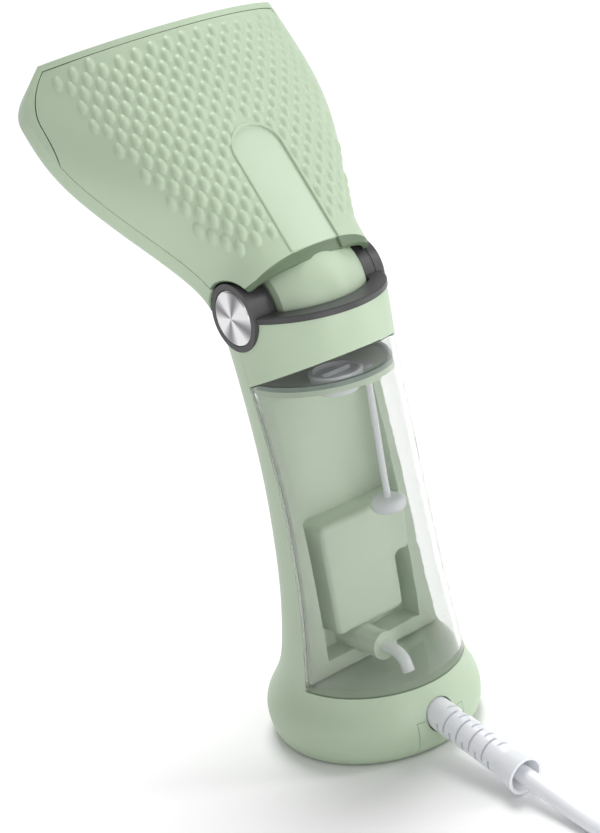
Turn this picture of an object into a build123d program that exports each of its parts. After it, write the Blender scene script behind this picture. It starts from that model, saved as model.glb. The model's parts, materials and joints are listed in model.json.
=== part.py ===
"""Handheld garment steamer with a tilting steam head and a lift-off water tank.

Row frame, in millimetres: the origin is the centre of the base's bottom face, +Z runs up the
handle, +X runs along the head's hinge axis and +Y is the way the head tilts. The water tank and
the cord are on the -Y side. Head parts are drawn in the head's own plane, where x is across the
head, y runs from the hinge towards its far end ("reach") and z rises to its back cover ("depth").
"""
import os
from math import cos, pi, radians, sin, tan

from build123d import *

os.makedirs("parts", exist_ok=True)

# ---------------------------------------------------------------- driving dimensions
PIVOT_Y = 2.0               # hinge axis, along X
PIVOT_Z = 172.0
TILT = 37.0                 # head's lean from straight, as modelled
WALL = 2.2                  # moulded plastic
GAP = 0.3                   # between faces that slide past each other

# handle sections: height, half-width, half-depth, centre y
HANDLE_SECTIONS = [
    (0.8, 37.6, 38.6, 0.0),
    (4.0, 39.4, 41.6, 0.0),
    (10.0, 40.3, 43.2, 0.0),
    (16.0, 39.4, 42.3, -0.4),
    (22.0, 36.4, 39.6, -1.5),
    (30.0, 33.9, 36.9, -3.3),
    (40.0, 32.5, 35.0, -4.5),
    (60.0, 30.3, 32.6, -5.4),
    (80.0, 29.2, 31.3, -5.6),
    (100.0, 28.5, 30.5, -5.1),
    (120.0, 28.4, 30.2, -3.9),
    (140.0, 28.7, 30.4, -2.0),
    (158.0, 29.4, 31.2, -0.3),
    (171.0, 30.2, 31.7, 1.2),
]
BASE_Z = HANDLE_SECTIONS[0][0]
HANDLE_TOP = HANDLE_SECTIONS[-1][0]

# the parting line between the front housing and what closes the back of the handle: y, z
SEAM = [(-5.2, 20.0), (-6.0, 60.0), (-5.4, 88.0), (-1.8, 124.0), (2.0, 148.0), (2.0, 180.0)]
BAND_Z = 146.3              # rear band's lower edge on the axis; it rises towards the back
BAND_SLOPE = 0.335
DECK_Z = 25.4               # ledge that carries the tank
DECK_TOP = 27.6

TANK_FLOOR = 28.3
TANK_CEILING = 143.0
TANK_WALL = 2.0
TRAY_WALL = 1.8
PLUG_X = -4.6
PLUG_Y = -17.8
OUTLET_X = -5.0
OUTLET_Z = 38.5

# head sections: reach, half-width at the seam, then how the arched back leaves the seam
# (lean inwards, rise) and what share of the half-width is nearly flat at the crest
SEAM_DEPTH = -2.0
CREST = 25.0
FRONT_DEPTH = -12.0
HEAD_SECTIONS = [
    (-4.0, 30.2, 0.0, 20.0, 0.75),
    (5.0, 30.3, 0.0, 20.0, 0.75),
    (15.0, 31.0, 0.0, 20.5, 0.75),
    (26.0, 35.2, 0.0, 20.5, 0.75),
    (37.0, 40.9, 0.0, 20.0, 0.74),
    (47.0, 46.4, 0.5, 19.0, 0.70),
    (57.0, 51.5, 2.0, 18.0, 0.64),
    (68.0, 56.3, 5.0, 17.0, 0.56),
    (80.0, 59.5, 9.0, 16.5, 0.49),
    (92.0, 60.5, 12.5, 16.5, 0.43),
    (105.0, 60.5, 13.0, 16.5, 0.42),
    (120.0, 60.3, 13.0, 16.5, 0.42),
]
HEAD_END = 116.0            # reach of the far end at the seam's depth
HEAD_SIDE = 60.8
HEAD_CORNER = 25.0
END_LEAN = 0.375            # the far end slopes out towards the steam face
HEAD_LIP = 2.8              # lower edge of the back cover
FRONT_NOTCH = -6.2          # depth to which the steam side is cut back near the hinge

DRUM_R = 23.6               # the drum is crowned: full radius at mid-width
DRUM_END_R = 15.6
DRUM_HALF = 18.8
DRUM_ROOM = 0.6
EAR_R = 12.4
EAR_IN = 20.0
EAR_OUT = 28.7
PIN_R = 4.0
CAP_R = 10.3

PAD_T = 2.0
CORD_R = 3.25
RELIEF_START = Vector(-1.5, -38.0, 15.7)
RELIEF_DIR = Vector(-0.07, -0.985, -0.155).normalized()
RELIEF_LENGTH = 52.0
COIL_MID_R = 38.0           # the put-away lead: two layers of four turns
COIL_HALF = 13.2            # half of the winding's width
COIL_HEIGHT = 13.2
OUTER_TURN_R = COIL_MID_R + COIL_HALF - 3.3
COIL_CENTRE = (-11.6 + OUTER_TURN_R, -196.0)

HEAD = Plane(origin=(0, PIVOT_Y, PIVOT_Z), x_dir=(1, 0, 0),
             z_dir=(0, -cos(radians(TILT)), sin(radians(TILT))))


# ---------------------------------------------------------------- shared shapes
def save(piece, name):
    """Label a finished piece and write it as one STEP file."""
    piece.part.label = name
    export_step(piece.part, f"parts/{name}.step")


def handle_form(inset, low=BASE_Z, high=HANDLE_TOP):
    """The handle's outer form, drawn in by an inset, between two heights."""
    with BuildPart() as form:
        for z, half_x, half_y, centre_y in HANDLE_SECTIONS:
            with BuildSketch(Plane.XY.offset(z)):
                with Locations((0, centre_y)):
                    Ellipse(half_x - inset, half_y - inset)
        loft()
        with Locations((0, 0, (low + high) / 2)):
            Box(120, 120, high - low, mode=Mode.INTERSECT)
    return form.part


def behind_seam(shift, low=0.0, high=180.0):
    """Everything on the tank's side of the parting line, moved by shift along Y."""
    with BuildPart() as region:
        with BuildSketch(Plane.YZ):
            with BuildLine():
                Spline([(y + shift, z) for y, z in SEAM])
                Polyline((SEAM[-1][0] + shift, SEAM[-1][1]), (-80, SEAM[-1][1]),
                         (-80, SEAM[0][1]), (SEAM[0][0] + shift, SEAM[0][1]))
            make_face()
        extrude(amount=60, both=True)
        with Locations((0, 0, (low + high) / 2)):
            Box(200, 200, high - low, mode=Mode.INTERSECT)
    return region.part


def below_band(drop):
    """Everything below the rear band's slanted lower edge, less a drop."""
    far = 90.0
    low_y = BAND_Z - drop + BAND_SLOPE * far
    high_y = BAND_Z - drop - BAND_SLOPE * far
    with BuildPart() as region:
        with BuildSketch(Plane.YZ):
            with BuildLine():
                Polyline((-far, -10), (far, -10), (far, high_y), (-far, low_y), close=True)
            make_face()
        extrude(amount=60, both=True)
    return region.part


def bar_x(radius, x_from, x_to, y=PIVOT_Y, z=PIVOT_Z):
    """A round bar along X."""
    with BuildPart() as bar:
        with BuildSketch(Plane.YZ.offset(x_from)):
            with Locations((y, z)):
                Circle(radius)
        extrude(amount=x_to - x_from)
    return bar.part


def bar_y(radius, y_from, y_to, x=0.0, z=0.0):
    """A round bar along Y."""
    with BuildPart() as bar:
        with BuildSketch(Plane(origin=(x, y_from, z), x_dir=(1, 0, 0), z_dir=(0, 1, 0))):
            Circle(radius)
        extrude(amount=y_to - y_from)
    return bar.part


def block(x, y, z):
    """A box between two limits along each axis."""
    with BuildPart() as box:
        with Locations(((x[0] + x[1]) / 2, (y[0] + y[1]) / 2, (z[0] + z[1]) / 2)):
            Box(x[1] - x[0], y[1] - y[0], z[1] - z[0])
    return box.part


def head_block(x, reach, depth):
    """A box between two limits along each of the head's directions."""
    with BuildPart() as box:
        with BuildSketch(HEAD.offset(depth[0])):
            with Locations(((x[0] + x[1]) / 2, (reach[0] + reach[1]) / 2)):
                Rectangle(x[1] - x[0], reach[1] - reach[0])
        extrude(amount=depth[1] - depth[0])
    return box.part


def head_plan(inset, depth_from, depth_to, start=-40.0):
    """The head's rounded outline seen from behind, as a thick plate."""
    half = HEAD_SIDE - inset
    end = HEAD_END - inset
    corner = HEAD_CORNER - inset
    with BuildPart() as plate:
        with BuildSketch(HEAD.offset(depth_from)):
            with BuildLine():
                Line((-half, start), (half, start))
                Line((half, start), (half, end - corner))
                RadiusArc((half, end - corner), (half - corner, end), -corner)
                Line((half - corner, end), (corner - half, end))
                RadiusArc((corner - half, end), (-half, end - corner), -corner)
                Line((-half, end - corner), (-half, start))
            make_face()
        extrude(amount=depth_to - depth_from)
    return plate.part


def head_side_cut(inset, depth_low):
    """The head seen from the side: its leaning far end, above a depth, as a wide slab."""
    across = Plane(origin=HEAD.origin, x_dir=HEAD.y_dir, z_dir=HEAD.x_dir)
    top = 40.0
    with BuildPart() as slab:
        with BuildSketch(across):
            with BuildLine():
                Polyline((-40, depth_low), (far_end(depth_low, inset), depth_low),
                         (far_end(top, inset), top), (-40, top), close=True)
            make_face()
        extrude(amount=80, both=True)
    return slab.part


def far_end(depth, inset):
    """Reach of the leaning far end at a depth."""
    return HEAD_END - 2.0 - inset - END_LEAN * (depth - SEAM_DEPTH)


def head_form(inset):
    """The head's outer form: an arched back over straight sides and a flat front."""
    seam = SEAM_DEPTH
    front = FRONT_DEPTH + inset
    with BuildPart() as form:
        for reach, half_width, lean, rise, flat in HEAD_SECTIONS:
            half = half_width - inset
            side = half + 0.3
            crest = CREST - inset
            section = Plane(origin=HEAD.origin + HEAD.y_dir * reach, x_dir=HEAD.x_dir,
                            z_dir=-HEAD.y_dir)
            with BuildSketch(section):
                with BuildLine():
                    Line((4.5 - side, front), (side - 4.5, front))
                    Spline([(side - 4.5, front), (side - 1.2, front + 1.6), (side, front + 5.0)],
                           tangents=[(1, 0), (0, 1)])
                    Line((side, front + 5.0), (half, seam))
                    Bezier((half, seam), (half - lean, seam + rise), (flat * half, crest),
                           (0, crest))
                    Bezier((0, crest), (-flat * half, crest), (lean - half, seam + rise),
                           (-half, seam))
                    Line((-half, seam), (-side, front + 5.0))
                    Spline([(-side, front + 5.0), (1.2 - side, front + 1.6), (4.5 - side, front)],
                           tangents=[(0, -1), (1, 0)])
                make_face()
        loft()
        add(head_plan(inset, -30, 40), mode=Mode.INTERSECT)
        add(head_side_cut(inset, -30), mode=Mode.INTERSECT)
    return form.part


def drum_form(inset, half):
    """A crowned round drum about the hinge axis, of a given half-width."""
    rim = DRUM_END_R - inset
    with BuildPart() as form:
        with BuildSketch(Plane(origin=(0, PIVOT_Y, PIVOT_Z), x_dir=(1, 0, 0), z_dir=(0, 1, 0))):
            with BuildLine():
                Line((-half, 0), (half, 0))
                Line((half, 0), (half, rim))
                ThreePointArc((half, rim), (0, DRUM_R - inset), (-half, rim))
                Line((-half, rim), (-half, 0))
            make_face()
        revolve(axis=Axis((0, PIVOT_Y, PIVOT_Z), (1, 0, 0)))
    return form.part


def neck_notch(room):
    """What the head leaves free round the drum, the ears and the front of the collar."""
    ear = EAR_R + 1.0 + room
    inner = EAR_IN - 0.6
    with BuildPart() as notch:
        add(drum_form(-DRUM_ROOM - room, inner + room))
        add(bar_x(ear, inner - room, 60))
        add(bar_x(ear, -60, room - inner))
        add(head_block((-60, 60), (-40, HEAD_LIP + room), (-40, 60)))
        add(head_block((-28.7 - room, 28.7 + room), (-40, 28 + room), (-40, FRONT_NOTCH + room)))
    return notch.part


def ring_of_screws(points, head_r, shank_r, z_head, z_tip):
    """Identical pan-head screws, heads down, at the given x, y points."""
    with BuildPart() as screws:
        with BuildSketch(Plane.XY.offset(z_head)):
            with Locations(*points):
                Circle(head_r)
        extrude(amount=1.6)
        with BuildSketch(Plane.XY.offset(z_head + 1.6)):
            with Locations(*points):
                Circle(shank_r)
        extrude(amount=z_tip - z_head - 1.6)
        with BuildSketch(Plane.XY.offset(z_head)):
            with Locations(*points):
                Rectangle(head_r * 1.3, 0.6)
                Rectangle(0.6, head_r * 1.3)
        extrude(amount=0.8, mode=Mode.SUBTRACT)
    return screws


def bar_along(plane, radius, start, end):
    """A round bar along a plane's normal."""
    with BuildPart() as bar:
        with BuildSketch(plane.offset(start)):
            Circle(radius)
        extrude(amount=end - start)
    return bar.part


def bend_radii(points):
    """The arc at each corner of a route: as large as the two runs beside it allow."""
    radii = []
    for before, corner, after in zip(points, points[1:], points[2:]):
        arriving = Vector(corner) - Vector(before)
        leaving = Vector(after) - Vector(corner)
        half_turn = radians(arriving.get_angle(leaving) / 2)
        radii.append(0.45 * min(arriving.length, leaving.length) / tan(half_turn))
    return radii


def hose(points, radius, bore=0.0):
    """A bent round tube along straight runs joined by tangent arcs."""
    with BuildPart() as tube:
        with BuildLine() as route:
            FilletPolyline(*points, radius=bend_radii(points))
        with BuildSketch(Plane(origin=route.wire() @ 0, z_dir=route.wire() % 0)):
            Circle(radius)
            if bore:
                Circle(bore, mode=Mode.SUBTRACT)
        sweep(path=route.wire())
    return tube


RELIEF = Plane(origin=RELIEF_START, z_dir=RELIEF_DIR)
EAR_ROOM = EAR_R + 0.3
LEFT_EAR_CUT = bar_x(EAR_ROOM, -60, -EAR_IN + 0.2)
RIGHT_EAR_CUT = bar_x(EAR_ROOM, EAR_IN - 0.2, 60)

# ---------------------------------------------------------------- base and handle
BASE_SCREWS = [(-21.0, -17.0), (21.0, -17.0), (0.0, 26.0)]
PLATE_TOP = 4.4
PANEL_X = (-12.2, 9.2)
PANEL_TOP = 15.2
EXIT_ROOM = 6.4
TRIGGER_X = 9.0
TRIGGER_Z = (118.5, 149.0)
BUTTON_Z = 100.0
BUTTON_R = 6.0
LIGHT_Z = 88.0
LIGHT_R = 2.4

with BuildPart() as main_housing:
    add(handle_form(0))
    add(handle_form(WALL), mode=Mode.SUBTRACT)
    add(behind_seam(0, DECK_TOP, 180), mode=Mode.SUBTRACT)
    with BuildPart(mode=Mode.PRIVATE) as deck:
        add(handle_form(WALL - 0.2, DECK_Z, DECK_TOP))
        add(behind_seam(6, 0, 60), mode=Mode.INTERSECT)
    add(deck.part)
    with BuildSketch(Plane.XY.offset(PLATE_TOP + 0.1)):
        with Locations(*BASE_SCREWS):
            Circle(3.6)
    extrude(amount=DECK_Z - PLATE_TOP)
    add(block((-1, 1), (26, 35.5), (8, DECK_Z)))
    with BuildSketch(Plane.XY.offset(PLATE_TOP)):
        with Locations(*BASE_SCREWS):
            Circle(1.6)
    extrude(amount=12, mode=Mode.SUBTRACT)
    add(LEFT_EAR_CUT, mode=Mode.SUBTRACT)
    add(RIGHT_EAR_CUT, mode=Mode.SUBTRACT)
    add(block((-TRIGGER_X - GAP, TRIGGER_X + GAP), (12, 60),
              (TRIGGER_Z[0] - GAP, TRIGGER_Z[1] + GAP)), mode=Mode.SUBTRACT)
    add(bar_y(BUTTON_R + GAP, 12, 60, z=BUTTON_Z), mode=Mode.SUBTRACT)
    add(bar_y(LIGHT_R + 0.1, 12, 60, z=LIGHT_Z), mode=Mode.SUBTRACT)
    add(block(PANEL_X, (-60, -30), (0, PANEL_TOP)), mode=Mode.SUBTRACT)
    add(bar_along(RELIEF, EXIT_ROOM, 0, 20), mode=Mode.SUBTRACT)
save(main_housing, "main_housing")

with BuildPart() as base_plate:
    add(handle_form(WALL + 0.2, BASE_Z, PLATE_TOP))
    with BuildSketch(Plane.XY.offset(BASE_Z)):
        Ellipse(31.2, 32.2)
    extrude(amount=PAD_T + 0.1 - BASE_Z, mode=Mode.SUBTRACT)
    with BuildSketch(Plane.XY):
        with Locations(*BASE_SCREWS):
            Circle(3.4)
    extrude(amount=3.8, mode=Mode.SUBTRACT)
    with BuildSketch(Plane.XY):
        with Locations(*BASE_SCREWS):
            Circle(1.7)
    extrude(amount=6, mode=Mode.SUBTRACT)
save(base_plate, "base_plate")

with BuildPart() as base_pad:
    with BuildSketch():
        Ellipse(31, 32)
    extrude(amount=PAD_T)
    chamfer(base_pad.faces().sort_by(Axis.Z)[0].edges(), 0.4)
save(base_pad, "base_pad")

base_screws = ring_of_screws(BASE_SCREWS, 3.1, 1.5, 2.15, 14)
save(base_screws, "base_screws")

with BuildPart() as cord_exit_panel:
    add(handle_form(0, BASE_Z, PANEL_TOP - 0.15))
    add(handle_form(WALL), mode=Mode.SUBTRACT)
    add(block((PANEL_X[0] + 0.15, PANEL_X[1] - 0.15), (-60, -30), (0, PANEL_TOP)),
        mode=Mode.INTERSECT)
    add(bar_along(RELIEF, EXIT_ROOM, 0, 20), mode=Mode.SUBTRACT)
save(cord_exit_panel, "cord_exit_panel")

# bulkhead that closes the handle behind the tank; its hollow bump makes room for the pump
BUMP_X = (-17.0, 15.0)
BUMP_WIDE = 23.0
BUMP_Z = (44.0, 88.0)
BUMP_STEP_Z = 65.5
BUMP_Y = -9.2
BULKHEAD_Y = 4.8
BULKHEAD_WALL = 1.5


def bump(inset, back, round_off=0.0):
    """The pump's housing: a block with a wider upper part, drawn in by an inset."""
    with BuildPart() as form:
        with BuildSketch(Plane(origin=(0, BUMP_Y + inset, 0), x_dir=(1, 0, 0), z_dir=(0, 1, 0))):
            with BuildLine():
                left, right = BUMP_X[0] + inset, BUMP_X[1] - inset
                wide = BUMP_WIDE - inset
                low, high = -BUMP_Z[0] - inset, -BUMP_Z[1] + inset
                step = -BUMP_STEP_Z - inset
                Polyline((left, low), (right, low), (right, step), (wide, step), (wide, high),
                         (left, high), close=True)
            make_face()
        extrude(amount=back - BUMP_Y - inset)
        if round_off:
            fillet(form.edges().filter_by(Axis.Y), round_off)
            fillet(form.faces().sort_by(Axis.Y)[0].edges(), round_off * 0.8)
    return form.part


with BuildPart() as handle_bulkhead:
    add(handle_form(WALL + 0.25, DECK_TOP + 0.1, 146.5))
    add(block((-60, 60), (BULKHEAD_Y, BULKHEAD_Y + BULKHEAD_WALL), (0, 180)), mode=Mode.INTERSECT)
    add(bump(2.0, BULKHEAD_Y + BULKHEAD_WALL))
    add(bump(2.0 + BULKHEAD_WALL, 30), mode=Mode.SUBTRACT)
    add(block((-6.5, 6.5), (BULKHEAD_Y, 11.8), (127, 139)))
    add(bar_y(2.6, -3.0, BULKHEAD_Y + 2, x=OUTLET_X, z=OUTLET_Z))
    add(bar_y(1.4, -4.0, 20, x=OUTLET_X, z=OUTLET_Z), mode=Mode.SUBTRACT)
save(handle_bulkhead, "handle_bulkhead")

with BuildPart() as rear_band:
    add(handle_form(0, 120, HANDLE_TOP))
    add(handle_form(WALL), mode=Mode.SUBTRACT)
    add(behind_seam(-0.12), mode=Mode.INTERSECT)
    add(below_band(0), mode=Mode.SUBTRACT)
    add(LEFT_EAR_CUT, mode=Mode.SUBTRACT)
    add(RIGHT_EAR_CUT, mode=Mode.SUBTRACT)
save(rear_band, "rear_band")

# ---------------------------------------------------------------- collar and hinge
COLLAR_T = 2.4
COLLAR_X = 31.0
COLLAR_Y = 32.0
COLLAR_CENTRE_Y = 1.3
OPENING_X = 19.9
OPENING_Y = DRUM_R + DRUM_ROOM
OPENING_END_Y = DRUM_END_R + DRUM_ROOM
BOSS_R = 12.6

with BuildPart() as collar:
    with BuildSketch(Plane.XY.offset(HANDLE_TOP)):
        with Locations((0, COLLAR_CENTRE_Y)):
            Ellipse(COLLAR_X, COLLAR_Y)
    extrude(amount=COLLAR_T)
    chamfer(collar.faces().sort_by(Axis.Z)[-1].edges(), 0.5)
    with BuildSketch(Plane.XY.offset(HANDLE_TOP - 5)):
        with Locations((0, COLLAR_CENTRE_Y)):
            Ellipse(27.2, 28.2)
    extrude(amount=5.2)
    with BuildSketch(Plane(origin=(0, PIVOT_Y, HANDLE_TOP - 6))):
        with BuildLine():
            for way in (-1, 1):
                ThreePointArc((-OPENING_X, way * OPENING_END_Y), (0, way * OPENING_Y),
                              (OPENING_X, way * OPENING_END_Y))
                Line((way * OPENING_X, -OPENING_END_Y), (way * OPENING_X, OPENING_END_Y))
        make_face()
    extrude(amount=12, mode=Mode.SUBTRACT)
    for side in (-1, 1):
        ends = sorted((side * EAR_IN, side * EAR_OUT))
        add(bar_x(EAR_R, *ends))
        rim = sorted((side * (EAR_OUT - 2.5), side * (EAR_OUT + 1.2)))
        add(bar_x(BOSS_R, *rim))
        seat = sorted((side * EAR_OUT, side * (EAR_OUT + 4)))
        add(bar_x(CAP_R + 0.15, *seat), mode=Mode.SUBTRACT)
        bore = sorted((side * (EAR_IN - 1), side * (EAR_OUT - 1.5)))
        add(bar_x(PIN_R, *bore), mode=Mode.SUBTRACT)
save(collar, "collar")


def hinge_side(side, name):
    """One side's cap, pivot pin and friction washer."""
    with BuildPart() as cap:
        with BuildSketch(Plane.YZ.offset(side * (EAR_OUT + 0.05))):
            with Locations((PIVOT_Y, PIVOT_Z)):
                Circle(CAP_R)
        extrude(amount=side * 1.5)
        chamfer(cap.faces().sort_by(Axis.X)[-1 if side > 0 else 0].edges(), 0.35)
    save(cap, f"hinge_cap_{name}")
    with BuildPart() as pin:
        add(bar_x(PIN_R, *sorted((side * 14.2, side * (EAR_OUT - 1.6)))))
        add(bar_x(1.8, *sorted((side * 10, side * 40))), mode=Mode.SUBTRACT)
        chamfer(pin.edges().filter_by(GeomType.CIRCLE).sort_by(Axis.X)[0 if side > 0 else -1], 0.4)
    save(pin, f"hinge_pin_{name}")
    with BuildPart() as washer:
        add(bar_x(8.5, *sorted((side * 19.05, side * 19.85))))
        add(bar_x(PIN_R + 0.15, *sorted((side * 10, side * 40))), mode=Mode.SUBTRACT)
    save(washer, f"friction_washer_{name}")


hinge_side(-1, "left")
hinge_side(1, "right")

# ---------------------------------------------------------------- pump, electrics and controls
with BuildPart() as pump:
    add(block((-13, 11), (-4.6, 14), (48.2, 66)))
    fillet(pump.edges().filter_by(Axis.Z), 2)
    add(bar_y(2.2, 13, 17, x=-7, z=57))
    with BuildSketch(Plane.XY.offset(45.0)):
        with Locations((OUTLET_X, 11.5)):
            Circle(2.2)
    extrude(amount=4)
save(pump, "pump")

with BuildPart() as pump_motor:
    with BuildSketch(Plane.XY.offset(66.1)):
        with Locations((-1, 6)):
            Circle(10.2)
    extrude(amount=16.5)
    fillet(pump_motor.edges().filter_by(GeomType.CIRCLE).sort_by(Axis.Z)[-1], 1.2)
    with BuildSketch(Plane.XY.offset(82.6)):
        with Locations((-1, 6)):
            Circle(3)
    extrude(amount=1.4)
save(pump_motor, "pump_motor")

inlet_tube = hose([(OUTLET_X, BULKHEAD_Y + 2.1, OUTLET_Z), (OUTLET_X, 11.5, OUTLET_Z),
                   (OUTLET_X, 11.5, 44.9)], 1.6)
save(inlet_tube, "inlet_tube")

ELBOW_X = -11.35
outlet_tube = hose([(-7.0, 17.1, 57.0), (-7.0, 21.0, 57.2), (-11.5, 19.0, 63.0),
                    (-15.0, 13.0, 74.0), (-15.2, 12.0, 100.0), (-15.0, 12.4, 128.0),
                    (-14.6, 11.0, 146.0), (-12.2, 5.0, 156.0), (ELBOW_X, 2.0, 162.0),
                    (ELBOW_X, PIVOT_Y, 168.7)], 1.8)
save(outlet_tube, "outlet_tube")

with BuildPart() as swivel_elbow:
    add(bar_x(3.0, ELBOW_X - 2.8, ELBOW_X + 2.8))
    with BuildSketch(Plane.XY.offset(PIVOT_Z - 3.2)):
        with Locations((ELBOW_X, PIVOT_Y)):
            Circle(2.3)
    extrude(amount=3.2)
save(swivel_elbow, "swivel_elbow")

BOARD_Y = 14.6
with BuildPart() as circuit_board:
    add(block((-10.5, 12.5), (BOARD_Y, BOARD_Y + 1.6), (86.5, 116)))
    with Locations(Plane(origin=(0, BOARD_Y, 0), x_dir=(1, 0, 0), z_dir=(0, 1, 0))):
        with Locations((-8.5, -113.5), (10.5, -113.5)):
            Hole(1.1)
save(circuit_board, "circuit_board")

with BuildPart() as board_components:
    add(block((-8, 2), (7.0, BOARD_Y - 0.02), (90, 104)))
    add(bar_y(3.2, 8.0, BOARD_Y - 0.02, x=8, z=93))
    add(bar_y(2.4, 9.5, BOARD_Y - 0.02, x=8, z=101))
    add(block((-7, 7), (11.5, BOARD_Y - 0.02), (107.5, 111)))
save(board_components, "board_components")

with BuildPart() as power_switch:
    add(block((-3, 3), (BOARD_Y + 1.65, 19.2), (BUTTON_Z - 3, BUTTON_Z + 3)))
    add(bar_y(1.6, 19, 19.5, z=BUTTON_Z))
save(power_switch, "power_switch")

FRONT_AT_BUTTON = 25.4
with BuildPart() as power_button:
    add(bar_y(BUTTON_R, 21.6, FRONT_AT_BUTTON + 1.6, z=BUTTON_Z))
    fillet(power_button.edges().filter_by(GeomType.CIRCLE).sort_by(Axis.Y)[-1], 0.9)
    add(bar_y(BUTTON_R + 1.2, 20.6, 21.8, z=BUTTON_Z))
save(power_button, "power_button")

with BuildPart() as power_light:
    add(bar_y(LIGHT_R, 20.0, FRONT_AT_BUTTON + 0.2, z=LIGHT_Z))
    fillet(power_light.edges().filter_by(GeomType.CIRCLE).sort_by(Axis.Y)[-1], 0.6)
save(power_light, "power_light")

TRIGGER_PROUD = 3.4
with BuildPart() as steam_trigger:
    add(handle_form(-TRIGGER_PROUD, *TRIGGER_Z))
    add(handle_form(3.4), mode=Mode.SUBTRACT)
    add(block((-TRIGGER_X, TRIGGER_X), (12, 60), TRIGGER_Z), mode=Mode.INTERSECT)
    fillet(steam_trigger.faces().sort_by(Axis.Y)[-1].edges(), 1.4)
    add(block((-5, 5), (20.6, 25.5), (129, 139)))
save(steam_trigger, "steam_trigger")

with BuildPart() as trigger_switch:
    add(block((-5, 5), (11.9, 16.4), (128, 138)))
    add(bar_y(1.5, 16.2, 18.0, z=133.5))
save(trigger_switch, "trigger_switch")

CLAMP_X = (-9.5, 6.5)
CLAMP_SCREWS = (-7.4, 4.6)
with BuildPart() as cord_clamp:
    add(block(CLAMP_X, (-31, -26), (8, DECK_Z - 0.05)))
    add(bar_along(RELIEF, CORD_R + 0.05, -20, 0), mode=Mode.SUBTRACT)
    with BuildSketch(Plane.XY.offset(7)):
        with Locations(*[(x, -28.5) for x in CLAMP_SCREWS]):
            Circle(1.3)
    extrude(amount=17, mode=Mode.SUBTRACT)
save(cord_clamp, "cord_clamp")

with BuildPart() as terminal_block:
    add(block((-9, 9), (-12, 10), (PLATE_TOP + 0.1, 14)))
    for x in (-5, 5):
        add(bar_y(2.2, -14, 12, x=x, z=9.5), mode=Mode.SUBTRACT)
save(terminal_block, "terminal_block")

# ---------------------------------------------------------------- water tank, lifts off backwards
TANK_FRONT = -0.25

with BuildPart() as tank_shell:
    add(handle_form(0, TANK_FLOOR, HANDLE_TOP))
    add(handle_form(TANK_WALL, TANK_FLOOR + TANK_WALL, HANDLE_TOP + 1), mode=Mode.SUBTRACT)
    add(behind_seam(TANK_FRONT), mode=Mode.INTERSECT)
    add(below_band(0.35), mode=Mode.INTERSECT)
save(tank_shell, "tank_shell")

POCKET_X = 22.6
POCKET_Z = (36.0, 138.0)
POCKET_Y = 2.4
POCKET_BACK = 4.2
BOSS_BASE_R = 6.4
BOSS_TIP_R = 4.7
BOSS_TIP_Y = -17.0

with BuildPart() as tank_tray:
    add(handle_form(TANK_WALL + 0.12, TANK_FLOOR + TANK_WALL + 0.05, TANK_CEILING - 0.05))
    add(behind_seam(TANK_FRONT), mode=Mode.INTERSECT)
    add(behind_seam(TANK_FRONT - TRAY_WALL), mode=Mode.SUBTRACT)
    add(block((-POCKET_X, POCKET_X), (-30, POCKET_BACK), POCKET_Z), mode=Mode.SUBTRACT)
    with BuildPart(mode=Mode.PRIVATE) as pocket:
        add(block((-POCKET_X - TRAY_WALL, POCKET_X + TRAY_WALL), (-12, POCKET_BACK),
                  (POCKET_Z[0] - TRAY_WALL, POCKET_Z[1] + TRAY_WALL)))
        add(behind_seam(TANK_FRONT - TRAY_WALL), mode=Mode.SUBTRACT)
        add(handle_form(TANK_WALL + 0.12), mode=Mode.INTERSECT)
        add(block((-POCKET_X, POCKET_X), (-30, POCKET_Y), POCKET_Z), mode=Mode.SUBTRACT)
    add(pocket.part)
    add(bump(0, POCKET_BACK, 2.4))
    add(bump(1.6, POCKET_BACK + 1), mode=Mode.SUBTRACT)
    with BuildSketch(Plane(origin=(OUTLET_X, POCKET_BACK, OUTLET_Z), z_dir=(0, -1, 0))):
        Circle(BOSS_BASE_R)
    with BuildSketch(Plane(origin=(OUTLET_X, BOSS_TIP_Y, OUTLET_Z), z_dir=(0, -1, 0))):
        Circle(BOSS_TIP_R)
    loft()
    add(bar_y(BOSS_TIP_R + 0.8, BOSS_TIP_Y - 3, BOSS_TIP_Y, x=OUTLET_X, z=OUTLET_Z))
    add(bar_y(2.9, -6, 10, x=OUTLET_X, z=OUTLET_Z), mode=Mode.SUBTRACT)
    add(bar_y(2.35, -30, 10, x=OUTLET_X, z=OUTLET_Z), mode=Mode.SUBTRACT)
save(tank_tray, "tank_tray")

HOSE_R = 2.3
suction_hose = hose([(OUTLET_X, -9.0, OUTLET_Z), (OUTLET_X, -24.6, OUTLET_Z),
                     (OUTLET_X, -29.6, 36.6), (OUTLET_X, -31.4, 31.3)], HOSE_R, 1.3)
save(suction_hose, "suction_hose")

PLUG_HOLE = 7.6
STEM_X = 5.0
STEM_Y = -19.5
LID_TOP = TANK_CEILING + 2.0

with BuildPart() as tank_lid:
    add(handle_form(TANK_WALL + 0.12, TANK_CEILING, LID_TOP))
    add(behind_seam(TANK_FRONT), mode=Mode.INTERSECT)
    with BuildSketch(Plane.XY.offset(TANK_CEILING - 1)):
        with Locations((PLUG_X, PLUG_Y)):
            Circle(PLUG_HOLE)
    extrude(amount=5, mode=Mode.SUBTRACT)
    add(block((STEM_X - 0.4, STEM_X + 6.5), (STEM_Y - 2.2, STEM_Y + 2.2),
              (TANK_CEILING - 4.2, TANK_CEILING)))
    with BuildSketch(Plane.XY.offset(TANK_CEILING - 5)):
        with Locations((STEM_X + 2.6, STEM_Y)):
            Circle(1.35)
    extrude(amount=8, mode=Mode.SUBTRACT)
save(tank_lid, "tank_lid")

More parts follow.
